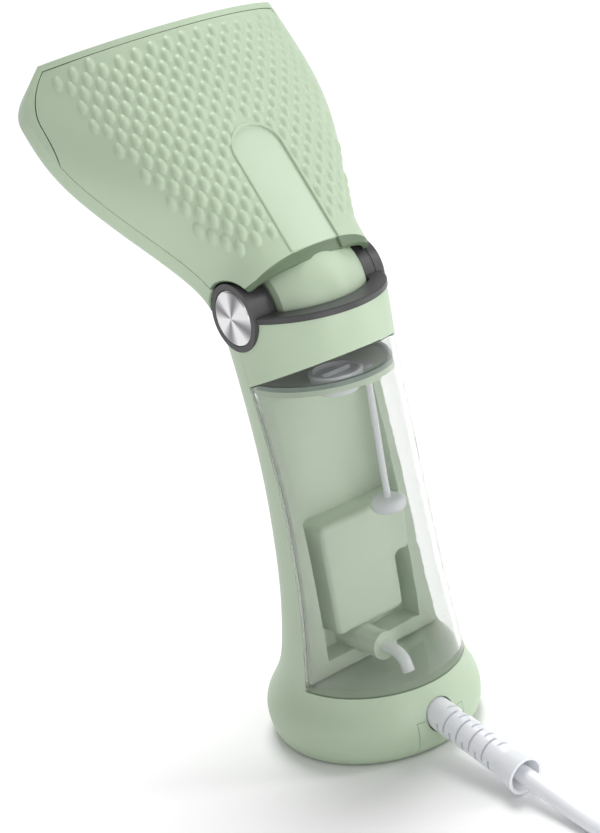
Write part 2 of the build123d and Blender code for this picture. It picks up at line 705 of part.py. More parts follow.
with BuildPart() as tank_seal:
    add(handle_form(TANK_WALL + 0.12, LID_TOP + 0.02, LID_TOP + 1.7))
    add(handle_form(TANK_WALL + 1.6), mode=Mode.SUBTRACT)
    add(behind_seam(TANK_FRONT), mode=Mode.INTERSECT)
    add(below_band(0.5), mode=Mode.INTERSECT)
save(tank_seal, "tank_seal")

with BuildPart() as fill_plug:
    with BuildSketch(Plane.XY.offset(LID_TOP + 0.05)):
        with Locations((PLUG_X, PLUG_Y)):
            Circle(9.8)
    extrude(amount=2.9)
    fillet(fill_plug.edges().filter_by(GeomType.CIRCLE).sort_by(Axis.Z)[-1], 0.8)
    with BuildSketch(Plane.XY.offset(LID_TOP + 1.4)):
        with Locations((PLUG_X, PLUG_Y)):
            Circle(8.2)
    extrude(amount=3, mode=Mode.SUBTRACT)
    with BuildSketch(Plane.XY.offset(LID_TOP - 5.0)):
        with Locations((PLUG_X, PLUG_Y)):
            Circle(PLUG_HOLE - 0.3)
    extrude(amount=5.1)
    add(block((PLUG_X - 6, PLUG_X + 6), (PLUG_Y - 0.8, PLUG_Y + 0.8), (LID_TOP + 1, LID_TOP + 2.9)))
save(fill_plug, "fill_plug")

with BuildPart() as vent_stem:
    with BuildSketch(Plane.XY.offset(94.0)):
        with Locations((STEM_X + 2.6, STEM_Y)):
            Circle(1.3)
    extrude(amount=LID_TOP + 1.0 - 94.0)
    with BuildSketch(Plane.XY.offset(LID_TOP + 0.05)):
        with Locations((STEM_X + 2.6, STEM_Y)):
            Circle(2.4)
    extrude(amount=1.0)
    with BuildSketch(Plane.XY.offset(89.0)):
        with Locations((STEM_X + 2.6, STEM_Y)):
            Circle(6.6)
    extrude(amount=5.0)
    fillet(vent_stem.edges().filter_by(GeomType.CIRCLE).group_by(SortBy.RADIUS)[-1], 2.2)
save(vent_stem, "vent_stem")

# ---------------------------------------------------------------- steam head: casing
COVER_WALL = 2.2
SHELL_SPLIT = 0.12
SCREW_PLACES = [(-43.5, 58.0), (43.5, 58.0), (-52.8, 92.0), (52.8, 92.0)]
BOSS = 3.3
SCREW_TIP = 1.8
BADGE_HALF = 9.9
BADGE_REACH = (9.0, 57.0)
BADGE_FLOOR = CREST - 0.9
PLATE_CORNERS = [(-26, 32), (26, 32), (48.6, 80), (48.6, 108), (-48.6, 108), (-48.6, 80)]


def head_point(x, reach, depth):
    """A point given across, along and through the head."""
    return HEAD.origin + HEAD.x_dir * x + HEAD.y_dir * reach + HEAD.z_dir * depth


def head_bar(radius, x, reach, depth_from, depth_to):
    """A round bar square to the head's length, at one place on it."""
    plane = Plane(origin=head_point(x, reach, 0), x_dir=HEAD.x_dir, z_dir=HEAD.z_dir)
    return bar_along(plane, radius, depth_from, depth_to)


def plate_plan(inset, depth_from, depth_to):
    """The steam plate's outline, drawn in by an inset, as a thick plate."""
    with BuildPart() as plate:
        with BuildSketch(HEAD.offset(depth_from)) as outline:
            Polygon(*PLATE_CORNERS, align=None)
            fillet(outline.vertices(), 15)
            offset(amount=-inset)
        extrude(amount=depth_to - depth_from)
    return plate.part


def badge_plan(inset, depth_from, depth_to):
    """The badge strip: straight sides and a round far end."""
    half = BADGE_HALF - inset
    near = BADGE_REACH[0] + inset
    shoulder = BADGE_REACH[1] - BADGE_HALF
    with BuildPart() as strip:
        with BuildSketch(HEAD.offset(depth_from)):
            with BuildLine():
                Polyline((-half, shoulder), (-half, near), (half, near), (half, shoulder))
                RadiusArc((half, shoulder), (-half, shoulder), -half)
            make_face()
        extrude(amount=depth_to - depth_from)
    return strip.part


def cover_region(room):
    """The side of the head that belongs to the back cover."""
    with BuildPart() as region:
        add(head_plan(2.2 + room, SEAM_DEPTH + room, 40))
        add(head_side_cut(2.4 + room, -30), mode=Mode.INTERSECT)
    return region.part


with BuildPart() as head_hollow:
    add(head_form(COVER_WALL))
    add(neck_notch(COVER_WALL), mode=Mode.SUBTRACT)

with BuildPart() as head_shell:
    add(head_form(0))
    add(neck_notch(0), mode=Mode.SUBTRACT)
    add(head_hollow.part, mode=Mode.SUBTRACT)
    add(head_block((-11.3, 11.3), (21, 30.4), (-6.8, 20)), mode=Mode.SUBTRACT)

with BuildPart() as head_back_cover:
    add(head_shell.part)
    add(cover_region(SHELL_SPLIT), mode=Mode.INTERSECT)
    with BuildPart(mode=Mode.PRIVATE) as bosses:
        for x, reach in SCREW_PLACES:
            add(head_bar(BOSS, x, reach, SEAM_DEPTH + 0.2, 30))
        add(head_form(1.0), mode=Mode.INTERSECT)
    add(bosses.part)
    for x, reach in SCREW_PLACES:
        add(head_bar(1.2, x, reach, SEAM_DEPTH - 1, SCREW_TIP + 0.6), mode=Mode.SUBTRACT)
    add(badge_plan(0, BADGE_FLOOR, 40), mode=Mode.SUBTRACT)
save(head_back_cover, "head_back_cover")

with BuildPart() as head_front_frame:
    add(head_shell.part)
    add(cover_region(0), mode=Mode.SUBTRACT)
    for x, reach in SCREW_PLACES:
        add(head_bar(BOSS, x, reach, FRONT_DEPTH + 1, SEAM_DEPTH + 0.05))
    add(plate_plan(-1.1, FRONT_DEPTH - 2, FRONT_DEPTH + 6), mode=Mode.SUBTRACT)
    for x, reach in SCREW_PLACES:
        add(head_bar(1.5, x, reach, FRONT_DEPTH - 2, SEAM_DEPTH + 1), mode=Mode.SUBTRACT)
        add(head_bar(2.5, x, reach, FRONT_DEPTH - 2, FRONT_DEPTH + 3), mode=Mode.SUBTRACT)
save(head_front_frame, "head_front_frame")

with BuildPart() as head_screws:
    for x, reach in SCREW_PLACES:
        add(head_bar(2.4, x, reach, FRONT_DEPTH + 1.2, FRONT_DEPTH + 2.9))
        add(head_bar(1.15, x, reach, FRONT_DEPTH + 2.8, SCREW_TIP))
        add(head_block((x - 1.6, x + 1.6), (reach - 0.3, reach + 0.3),
                       (FRONT_DEPTH, FRONT_DEPTH + 1.9)), mode=Mode.SUBTRACT)
save(head_screws, "head_screws")

with BuildPart() as badge_inlay:
    add(badge_plan(0.15, BADGE_FLOOR + 0.02, CREST - 0.35))
save(badge_inlay, "badge_inlay")

# ---------------------------------------------------------------- drum the head turns on
DRUM_WALL = 3.0
HUB_R = 8.0
HUB_IN = 14.5
OPEN_FROM = 87              # the drum is open underneath, between these angles, measured
OPEN_TO = 220               # from the head's length towards its steam face
BRACKET_X = 11.0


def side_wedge(start, end):
    """A wedge about the hinge axis between two angles, wider than the drum."""
    across = Plane(origin=HEAD.origin, x_dir=HEAD.y_dir, z_dir=HEAD.x_dir)
    angles = [radians(start + (end - start) * step / 4) for step in range(5)]
    with BuildPart() as wedge:
        with BuildSketch(across):
            with BuildLine():
                Polyline((0, 0), *[(60 * cos(a), -60 * sin(a)) for a in angles], close=True)
            make_face()
        extrude(amount=40, both=True)
    return wedge.part


with BuildPart() as neck_drum:
    add(drum_form(0, DRUM_HALF))
    add(drum_form(DRUM_WALL, DRUM_HALF - 2.8), mode=Mode.SUBTRACT)
    add(side_wedge(OPEN_FROM, OPEN_TO), mode=Mode.SUBTRACT)
    add(bar_x(HUB_R, -DRUM_HALF, -HUB_IN))
    add(bar_x(HUB_R, HUB_IN, DRUM_HALF))
    add(bar_x(PIN_R + 0.05, -30, 30), mode=Mode.SUBTRACT)
    add(head_block((-BRACKET_X, BRACKET_X), (DRUM_R - 1.2, 33), (-6.5, 22)))
    add(head_block((-6.6, 6.2), (12, 40), (-5.4, 6.4)), mode=Mode.SUBTRACT)
save(neck_drum, "neck_drum")

# ---------------------------------------------------------------- steam plate and boiler
PLATE_FACE = FRONT_DEPTH - 1.4
PLATE_BACK = FRONT_DEPTH + 2.2
CHAMBER_TOP = 1.5
HOLE_R = 1.3

with BuildPart() as soleplate:
    add(plate_plan(0, PLATE_FACE, PLATE_BACK))
    chamfer(soleplate.faces().sort_by(Axis(HEAD.origin, HEAD.z_dir))[0].edges(), 0.7)
    with BuildSketch(HEAD.offset(PLATE_FACE - 1)):
        for across, along in ((0, 46), (0, 96), (-14, 44), (14, 44), (-14, 98), (14, 98)):
            with Locations((across, along)):
                Circle(HOLE_R)
        for row in range(5):
            for side in (-1, 1):
                with Locations((side * (23.5 + 3.4 * row), 52 + 9.5 * row)):
                    Circle(HOLE_R)
                with Locations((side * (10 + 1.4 * row), 56 + 8 * row)):
                    Circle(HOLE_R)
    extrude(amount=8, mode=Mode.SUBTRACT)
save(soleplate, "soleplate")

with BuildPart() as plate_gasket:
    add(plate_plan(-1.0, FRONT_DEPTH - 0.4, FRONT_DEPTH + 1.9))
    add(plate_plan(-0.1, FRONT_DEPTH - 3, FRONT_DEPTH + 4), mode=Mode.SUBTRACT)
save(plate_gasket, "plate_gasket")

with BuildPart() as steam_chamber:
    add(plate_plan(6, PLATE_BACK + 0.05, CHAMBER_TOP))
    add(plate_plan(10, PLATE_BACK - 1, CHAMBER_TOP - 4.5), mode=Mode.SUBTRACT)
    for row in range(3):
        for side in (-1, 1):
            add(head_block(sorted((side * 8, side * 30)), (56 + 12 * row, 58 + 12 * row),
                           (PLATE_BACK + 1.2, CHAMBER_TOP - 3)))
    add(bar_along(Plane(origin=head_point(-4, 38.5, -3), z_dir=HEAD.y_dir), 3.2, -2.6, 1))
    add(bar_along(Plane(origin=head_point(-4, 38.5, -3), z_dir=HEAD.y_dir), 1.2, -4, 8),
        mode=Mode.SUBTRACT)
save(steam_chamber, "steam_chamber")

ELEMENT_R = 3.1
ELEMENT_DEPTH = CHAMBER_TOP + ELEMENT_R + 0.1
ELEMENT_ROUTE = [(-14, 42), (-22, 58), (-29, 78), (-24, 94), (0, 98), (24, 94), (29, 78), (22, 58),
                 (14, 42)]
heating_element = hose([head_point(x, reach, ELEMENT_DEPTH) for x, reach in ELEMENT_ROUTE],
                       ELEMENT_R)
save(heating_element, "heating_element")

with BuildPart() as thermostat:
    add(head_bar(7.5, 0, 62, CHAMBER_TOP + 0.1, CHAMBER_TOP + 6))
    add(head_bar(5.2, 0, 62, CHAMBER_TOP + 6, CHAMBER_TOP + 9))
    add(head_block((-13, 13), (58.5, 65.5), (CHAMBER_TOP + 0.1, CHAMBER_TOP + 1.1)))
save(thermostat, "thermostat")

with BuildPart() as thermal_fuse:
    fuse_at = head_point(0, 80, CHAMBER_TOP + 2.6)
    add(bar_x(2.2, -6, 6, y=fuse_at.Y, z=fuse_at.Z))
    add(bar_x(0.6, -12, 12, y=fuse_at.Y, z=fuse_at.Z))
save(thermal_fuse, "thermal_fuse")

steam_feed_tube = hose([head_point(ELBOW_X + 2.9, 0, 0), head_point(-4, 0, 0),
                        head_point(-4, 20, -1), head_point(-4, 35.6, -3)], 1.8)
save(steam_feed_tube, "steam_feed_tube")

WIRE_R = 1.2
WIRE_X = 11.5
handle_wiring = hose([(8.5, 12.4, 116.0), (10.5, 10.0, 128.0), (12.5, 8.0, 146.0),
                      (WIRE_X, 3.5, 158.0), (WIRE_X, PIVOT_Y, PIVOT_Z), (6.6, PIVOT_Y, PIVOT_Z)],
                     WIRE_R)
save(handle_wiring, "handle_wiring")

head_wiring = hose([head_point(6.5, 0, 0), head_point(3.4, 0, 0), head_point(3.4, 20, -0.5),
                    head_point(4.0, 36, 4.5), head_point(2.5, 48, 12.0),
                    head_point(0, 55, 14.5)], WIRE_R)
save(head_wiring, "head_wiring")

# ---------------------------------------------------------------- mains lead
FLANGE_R = 7.0
RELIEF_R = 5.9
RELIEF_END_R = 7.4
BORE_FROM = 38.0
SLIT_PITCH = 3.6
SLIT_COUNT = 9
SLIT_BRIDGE = 6.4           # each ring of slits leaves two bridges this wide
MOUTH_FROM = 44.0           # the hollow flared mouth starts here

with BuildPart() as strain_relief:
    add(bar_along(RELIEF, FLANGE_R, -3.0, -1.2))
    add(bar_along(RELIEF, RELIEF_R, -1.4, 43.5))
    with BuildSketch(RELIEF.offset(43)):
        Circle(RELIEF_R)
    with BuildSketch(RELIEF.offset(RELIEF_LENGTH)):
        Circle(RELIEF_END_R)
    loft()
    for slit in range(SLIT_COUNT):
        with BuildSketch(RELIEF.offset(9 + SLIT_PITCH * slit)):
            Circle(8)
            Circle(4.2, mode=Mode.SUBTRACT)
            with Locations(Location((0, 0), 45 + 90 * (slit % 2))):
                Rectangle(20, SLIT_BRIDGE, mode=Mode.SUBTRACT)
        extrude(amount=1.1, mode=Mode.SUBTRACT)
    add(bar_along(RELIEF, CORD_R + 0.05, BORE_FROM, 60), mode=Mode.SUBTRACT)
    with BuildPart(mode=Mode.SUBTRACT):
        with BuildSketch(RELIEF.offset(MOUTH_FROM)):
            Circle(CORD_R + 0.04)
        with BuildSketch(RELIEF.offset(RELIEF_LENGTH + 0.1)):
            Circle(RELIEF_END_R - 1.2)
        loft()
save(strain_relief, "strain_relief")

with BuildPart() as cord_inner:
    add(bar_along(RELIEF, CORD_R, -19, -3.05))
save(cord_inner, "cord_inner")

with BuildPart() as mains_leads:
    for side in (-1, 1):
        add(hose([(-0.2 + 1.6 * side, -18.8, 18.6), (-0.2 + 1.8 * side, -15.6, 18.9),
                  (4.4 * side, -13.8, 15.2), (5 * side, -14.2, 9.6), (5 * side, -9.0, 9.5)],
                 1.0).part)
save(mains_leads, "mains_leads")

with BuildPart() as clamp_screws:
    with BuildSketch(Plane.XY.offset(6.3)):
        with Locations(*[(x, -28.5) for x in CLAMP_SCREWS]):
            Circle(2.3)
    extrude(amount=1.65)
    with BuildSketch(Plane.XY.offset(7.9)):
        with Locations(*[(x, -28.5) for x in CLAMP_SCREWS]):
            Circle(1.2)
    extrude(amount=15)
save(clamp_screws, "clamp_screws")

# route of the lead's centre line from inside the strain relief to the put-away coil
FLOOR = CORD_R + 0.05
LEAD_START = RELIEF_START + RELIEF_DIR * (BORE_FROM + 0.1)
LEAD_ROUTE = [tuple(LEAD_START), (-5.9, -100.0, 5.95), (-8.2, -123.0, FLOOR),
              (-10.9, -148.0, FLOOR), (-11.6, -172.0, FLOOR)]
cord_lead = hose(LEAD_ROUTE, CORD_R)
save(cord_lead, "cord_lead")

with BuildPart() as cord_coil:
    with BuildSketch(Plane(origin=(*COIL_CENTRE, 0))):
        Circle(COIL_MID_R + COIL_HALF)
        Circle(COIL_MID_R - COIL_HALF, mode=Mode.SUBTRACT)
    extrude(amount=COIL_HEIGHT)
    fillet(cord_coil.edges(), CORD_R - 0.05)
save(cord_coil, "cord_coil")

TIE_HALF = 5.0
with BuildPart() as coil_tie:
    near = COIL_CENTRE[1] - COIL_MID_R - COIL_HALF - 0.9
    far = COIL_CENTRE[1] - COIL_MID_R + COIL_HALF + 0.9
    add(block((COIL_CENTRE[0] - TIE_HALF, COIL_CENTRE[0] + TIE_HALF), (near, far),
              (0.05, COIL_HEIGHT + 0.9)))
    with BuildSketch(Plane(origin=(*COIL_CENTRE, -1))):
        Circle(COIL_MID_R + COIL_HALF + 0.03)
        Circle(COIL_MID_R - COIL_HALF - 0.03, mode=Mode.SUBTRACT)
    extrude(amount=COIL_HEIGHT + 1.03, mode=Mode.SUBTRACT)
save(coil_tie, "coil_tie")

PLUG_CENTRE_X = COIL_CENTRE[0] + OUTER_TURN_R
PLUG_REAR_Y = -150.0
PLUG_FRONT_Y = -118.0
PLUG_MID_Z = 9.9
TAIL_START_Y = -172.0
with BuildPart() as cord_tail:
    add(bar_y(CORD_R, TAIL_START_Y, PLUG_REAR_Y - 0.05, x=PLUG_CENTRE_X, z=PLUG_MID_Z))
save(cord_tail, "cord_tail")

with BuildPart() as plug_body:
    for y, width, height in ((PLUG_REAR_Y, 9.5, 9.5), (-140.0, 16.0, 14.0),
                             (-128.0, 20.0, 19.4), (PLUG_FRONT_Y, 20.0, 19.4)):
        with BuildSketch(Plane(origin=(PLUG_CENTRE_X, y, PLUG_MID_Z), x_dir=(1, 0, 0),
                               z_dir=(0, 1, 0))):
            RectangleRounded(width, height, 4)
    loft()
save(plug_body, "plug_body")

with BuildPart() as plug_blades:
    for side in (-1, 1):
        at = PLUG_CENTRE_X + side * 6.35
        add(block((at - 0.75, at + 0.75), (PLUG_FRONT_Y + 0.02, -102),
                  (PLUG_MID_Z - 3.2, PLUG_MID_Z + 3.2)))
save(plug_blades, "plug_blades")

print("lead bend radii", [round(r, 1) for r in bend_radii(LEAD_ROUTE)])
print("lead length by volume", round(cord_lead.part.volume / (pi * CORD_R ** 2), 1))
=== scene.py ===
"""Looks for a handheld garment steamer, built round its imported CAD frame, in metres."""

import json
from math import cos, pi, radians, sin

import bmesh
import bpy
import numpy as np
from mathutils import Matrix, Vector


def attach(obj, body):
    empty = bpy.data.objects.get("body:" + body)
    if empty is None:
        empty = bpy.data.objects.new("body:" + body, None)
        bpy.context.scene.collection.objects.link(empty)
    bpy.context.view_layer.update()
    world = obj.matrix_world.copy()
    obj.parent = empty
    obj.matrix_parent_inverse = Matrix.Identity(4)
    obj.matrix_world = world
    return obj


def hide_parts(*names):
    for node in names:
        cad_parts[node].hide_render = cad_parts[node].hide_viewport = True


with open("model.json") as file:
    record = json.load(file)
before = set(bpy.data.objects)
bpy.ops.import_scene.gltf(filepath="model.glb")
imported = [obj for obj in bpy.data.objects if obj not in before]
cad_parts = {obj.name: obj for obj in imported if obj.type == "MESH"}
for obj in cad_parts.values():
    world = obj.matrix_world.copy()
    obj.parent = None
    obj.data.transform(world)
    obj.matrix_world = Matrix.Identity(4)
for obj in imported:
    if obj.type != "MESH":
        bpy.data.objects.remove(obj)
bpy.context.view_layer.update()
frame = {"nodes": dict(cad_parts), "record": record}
MM = 0.001

# ---------------------------------------------------------------- camera
CAMERA_PLACE = (-0.3772, -0.5362, 0.3596)
CAMERA_AZIMUTH = radians(-34.35)
CAMERA_HEIGHT = radians(19.59)
CAMERA_ROLL = radians(10.34)
CAMERA_LENS = 82.2


def make_camera():
    """The camera, level with its own roll, looking down at the steamer from its left."""
    back = Vector((sin(CAMERA_AZIMUTH) * cos(CAMERA_HEIGHT),
                   -cos(CAMERA_AZIMUTH) * cos(CAMERA_HEIGHT), sin(CAMERA_HEIGHT)))
    level = Vector((cos(CAMERA_AZIMUTH), sin(CAMERA_AZIMUTH), 0))
    upright = back.cross(level)
    right = level * cos(CAMERA_ROLL) - upright * sin(CAMERA_ROLL)
    up = level * sin(CAMERA_ROLL) + upright * cos(CAMERA_ROLL)
    data = bpy.data.cameras.new("camera")
    data.lens = CAMERA_LENS
    data.sensor_width = 36
    data.clip_start, data.clip_end = 0.01, 20
    camera = bpy.data.objects.new("camera", data)
    bpy.context.scene.collection.objects.link(camera)
    camera.matrix_world = Matrix((right, up, back)).transposed().to_4x4()
    camera.location = CAMERA_PLACE
    bpy.context.scene.camera = camera


# ---------------------------------------------------------------- materials
def node(tree, kind, **sockets):
    """A shader node with some of its sockets set."""
    made = tree.nodes.new(kind)
    for name, value in sockets.items():
        made.inputs[name.replace("_", " ")].default_value = value
    return made


def material(name, colour, other, patch, roughness, grain, bump, **settings):
    """A moulded, cast or drawn surface. Its colour drifts between two tones over patches of a
    size, its roughness varies a little, and a fine grain of a size lifts the surface."""
    mat = bpy.data.materials.new(name)
    mat.use_nodes = True
    tree = mat.node_tree
    link = tree.links.new
    shader = tree.nodes["Principled BSDF"]
    for socket, value in settings.items():
        shader.inputs[socket.replace("_", " ")].default_value = value
    where = tree.nodes.new("ShaderNodeTexCoord")
    cloud = node(tree, "ShaderNodeTexNoise", Scale=1 / patch, Detail=3.0, Roughness=0.55)
    link(where.outputs["Object"], cloud.inputs["Vector"])
    tones = tree.nodes.new("ShaderNodeValToRGB")
    tones.color_ramp.elements[0].position = 0.35
    tones.color_ramp.elements[0].color = (*other, 1)
    tones.color_ramp.elements[1].position = 0.65
    tones.color_ramp.elements[1].color = (*colour, 1)
    link(cloud.outputs["Fac"], tones.inputs["Fac"])
    link(tones.outputs["Color"], shader.inputs["Base Color"])
    fine = node(tree, "ShaderNodeTexNoise", Scale=1 / grain, Detail=2.0, Roughness=0.6)
    link(where.outputs["Object"], fine.inputs["Vector"])
    spread = node(tree, "ShaderNodeMapRange", From_Min=0.3, From_Max=0.7,
                  To_Min=roughness * 0.9, To_Max=min(1.0, roughness * 1.12))
    link(fine.outputs["Fac"], spread.inputs["Value"])
    link(spread.outputs["Result"], shader.inputs["Roughness"])
    lift = node(tree, "ShaderNodeBump", Strength=1.0, Distance=bump)
    link(fine.outputs["Fac"], lift.inputs["Height"])
    link(lift.outputs["Normal"], shader.inputs["Normal"])
    return mat


def brushed(name, colour, other, roughness, stretch, bump, **settings):
    """A metal with fine lines drawn along one axis: stretch squeezes the noise across it."""
    mat = material(name, colour, other, 0.02, roughness, 0.001, bump, Metallic=1.0, **settings)
    tree = mat.node_tree
    where = next(n for n in tree.nodes if n.type == "TEX_COORD")
    squeeze = tree.nodes.new("ShaderNodeMapping")
    squeeze.inputs["Scale"].default_value = stretch
    tree.links.new(where.outputs["Object"], squeeze.inputs["Vector"])
    for noise in [n for n in tree.nodes if n.type == "TEX_NOISE"]:
        tree.links.new(squeeze.outputs["Vector"], noise.inputs["Vector"])
    spread = next(n for n in tree.nodes if n.type == "MAP_RANGE")
    spread.inputs["To Min"].default_value = roughness * 0.85
    spread.inputs["To Max"].default_value = roughness * 1.15
    return mat


# parts inside the tank that take a paler green than their own: painted light, where little light
# reaches under the tank's top
INNER_PAINTED_LIGHT_NODES = ("handle_bulkhead", "tank_tray", "tank_lid")
TANK_FOOT = 28.8            # the tank's foot faces, painted pale green as light, lie below this height
FOOT_FACING = -0.5          # and look down by more than this
FRAME_ROUNDING = 1.4
FRAME_STITCH = 0.01         # joins the frame's faces, so that the rounding finds its edges


def make_materials():
    """One material for each of the record's slots, and three greens that paint light and shade:
    painted shade on the head cover's lip, and painted light on the tank's foot and on the parts
    inside the tank.
    """
    green = (0.435, 0.535, 0.395)
    made = {
        "shell_green": material("shell_green", green, (0.42, 0.52, 0.38), 0.03, 0.42,
                                0.0006, 0.000012, Specular_IOR_Level=0.45),
        "tray_green": material("tray_green", (0.39, 0.49, 0.36), (0.375, 0.475, 0.345), 0.02,
                               0.4, 0.0006, 0.00001, Specular_IOR_Level=0.4),
        "badge_green": material("badge_green", (0.49, 0.59, 0.455), (0.475, 0.575, 0.44),
                                0.02, 0.34, 0.0005, 0.000006, Specular_IOR_Level=0.5),
        "tank_clear": material("tank_clear", (0.89, 0.90, 0.893), (0.88, 0.89, 0.883), 0.05,
                               0.035, 0.01, 0.000004, Transmission_Weight=1.0, IOR=1.36),
        "collar_grey": material("collar_grey", (0.048, 0.048, 0.049), (0.040, 0.040, 0.041),
                                0.01, 0.38, 0.0004, 0.00001, Specular_IOR_Level=0.5),
        "white_plastic": material("white_plastic", (0.80, 0.81, 0.84), (0.78, 0.79, 0.83),
                                  0.02, 0.22, 0.0008, 0.000004, Coat_Weight=0.15),
        "white_silicone": material("white_silicone", (0.93, 0.94, 0.93), (0.91, 0.92, 0.91),
                                   0.02, 0.3, 0.0008, 0.000006, Subsurface_Weight=0.2,
                                   Subsurface_Scale=0.003),
        "lead_white": material("lead_white", (0.80, 0.81, 0.84), (0.77, 0.785, 0.82), 0.015,
                               0.34, 0.0005, 0.00001, Specular_IOR_Level=0.5),
        "pad_grey": material("pad_grey", (0.07, 0.072, 0.074), (0.055, 0.057, 0.06), 0.008,
                             0.7, 0.0004, 0.00003, Sheen_Weight=0.1),
        "seal_grey": material("seal_grey", (0.27, 0.35, 0.29), (0.24, 0.32, 0.26), 0.01,
                              0.55, 0.0005, 0.00001),
        "cast_metal": material("cast_metal", (0.46, 0.47, 0.48), (0.38, 0.39, 0.40), 0.004,
                               0.5, 0.0007, 0.00006, Metallic=1.0),
        "board_green": material("board_green", (0.02, 0.10, 0.04), (0.014, 0.075, 0.03),
                                0.004, 0.35, 0.0004, 0.00001),
        "dark_parts": material("dark_parts", (0.012, 0.012, 0.014), (0.02, 0.02, 0.022),
                               0.006, 0.5, 0.0005, 0.00002),
        "wire_grey": material("wire_grey", (0.16, 0.16, 0.165), (0.13, 0.13, 0.135), 0.006,
                              0.45, 0.0004, 0.00001),
        "white_inner": material("white_inner", (0.60, 0.60, 0.57), (0.56, 0.56, 0.53), 0.01,
                                0.5, 0.0006, 0.00001),
        "light_lens": material("light_lens", (0.70, 0.80, 0.70), (0.66, 0.77, 0.67), 0.004,
                               0.3, 0.0006, 0.000004, Subsurface_Weight=0.3,
                               Subsurface_Scale=0.002),
        # painted shade: a darker green for the lip under the head cover's edge, where shade falls
        "lip_painted_shade_green": material("lip_painted_shade_green", (0.14, 0.195, 0.12), (0.13, 0.185, 0.115), 0.02,
                              0.45, 0.0006, 0.00001, Specular_IOR_Level=0.35),
        # painted light: a pale green on the clear tank's foot faces, for the lit ledge seen
        # through them
        "foot_painted_light_green": material("foot_painted_light_green", (0.80, 0.92, 0.74), (0.78, 0.90, 0.72), 0.02,
                               0.5, 0.0006, 0.00001),
        # painted light: a paler green for the parts inside the tank, which lie in shade
        "inner_painted_light_green": material("inner_painted_light_green", (0.62, 0.72, 0.57), (0.60, 0.70, 0.55), 0.02,
                                0.45, 0.0006, 0.00001, Specular_IOR_Level=0.35),
        "chrome": brushed("chrome", (0.80, 0.81, 0.83), (0.74, 0.75, 0.77), 0.2,
                          (1, 1, 1), 0.000004),
        "plate_metal": brushed("plate_metal", (0.72, 0.73, 0.74), (0.66, 0.67, 0.68), 0.3,
                               (1, 0.06, 0.06), 0.00001),
        "steel": brushed("steel", (0.60, 0.60, 0.61), (0.52, 0.52, 0.53), 0.3,
                         (1, 1, 0.1), 0.00001),
        "blade_brass": brushed("blade_brass", (0.72, 0.58, 0.30), (0.66, 0.52, 0.26), 0.25,
                               (1, 0.08, 1), 0.000006),
    }
    for part in frame["record"]["subparts"]:
        dressed = frame["nodes"][part["node"]]
        dressed.data.materials.clear()
        # the parts inside the tank take the paler green, as painted light
        inside = part["node"] in INNER_PAINTED_LIGHT_NODES
        dressed.data.materials.append(made["inner_painted_light_green" if inside else part["material_slot"]])
    return made


def paint_tank_foot_light():
    """The clear tank's foot faces in a pale green: painted light, standing in for the lit ledge
    seen through them.
    """
    shell = frame["nodes"]["tank_shell"]
    shell.data.materials.append(MATERIALS["foot_painted_light_green"])
    for face in shell.data.polygons:
        if face.center.z < TANK_FOOT * MM and face.normal.z < FOOT_FACING:
            face.material_index = 1


def round_head_frame():
    """Softer edges on the head's front frame."""
    modifiers = frame["nodes"]["head_front_frame"].modifiers
    joined = modifiers.new("joined", "WELD")
    joined.merge_threshold = FRAME_STITCH * MM
    rounding = modifiers.new("rounding", "BEVEL")
    rounding.width = FRAME_ROUNDING * MM
    rounding.segments = 4
    rounding.limit_method = "ANGLE"
    rounding.angle_limit = radians(25)
    rounding.harden_normals = True


DISC_SECTORS = 8            # half of them light; in the colour these are painted reflections, light and dark in turn


def paint_disc_reflections():
    """Bright metal with painted reflections: light and dark sectors in its colour, in turn, round
    the hinge axis.
    """
    mat = brushed("disc_painted_reflection_metal", (0.86, 0.87, 0.88), (0.80, 0.81, 0.82), 0.22, (1, 1, 1),
                  0.000003)
    tree = mat.node_tree
    link = tree.links.new
    shader = tree.nodes["Principled BSDF"]
    where = next(n for n in tree.nodes if n.type == "TEX_COORD")
    centre = tree.nodes.new("ShaderNodeMapping")
    centre.inputs["Location"].default_value = tuple(-value * MM for value in PIVOT)
    split = tree.nodes.new("ShaderNodeSeparateXYZ")
    turn = tree.nodes.new("ShaderNodeMath")
    turn.operation = "ARCTAN2"
    wave = tree.nodes.new("ShaderNodeMath")
    wave.operation = "MULTIPLY"
    wave.inputs[1].default_value = DISC_SECTORS / 2
    shade = tree.nodes.new("ShaderNodeMath")
    shade.operation = "SINE"
    # painted reflections: the base colour swings from dark to light round the hinge axis
    tones = tree.nodes.new("ShaderNodeValToRGB")
    tones.color_ramp.elements[0].position = 0.0
    tones.color_ramp.elements[0].color = (0.22, 0.22, 0.23, 1)
    tones.color_ramp.elements[1].position = 0.75
    tones.color_ramp.elements[1].color = (0.74, 0.74, 0.75, 1)
    ease = node(tree, "ShaderNodeMapRange", From_Min=-1.0, From_Max=1.0)
    link(where.outputs["Object"], centre.inputs["Vector"])
    link(centre.outputs["Vector"], split.inputs["Vector"])
    link(split.outputs["Y"], turn.inputs[0])
    link(split.outputs["Z"], turn.inputs[1])
    link(turn.outputs["Value"], wave.inputs[0])
    link(wave.outputs["Value"], shade.inputs[0])
    link(shade.outputs["Value"], ease.inputs["Value"])
    link(ease.outputs["Result"], tones.inputs["Fac"])
    link(tones.outputs["Color"], shader.inputs["Base Color"])
    return mat


def dress(obj, slot_name):
    """The slot's material on a piece, with the slot named for the record."""
    obj.data.materials.clear()
    obj.data.materials.append(MATERIALS[slot_name])


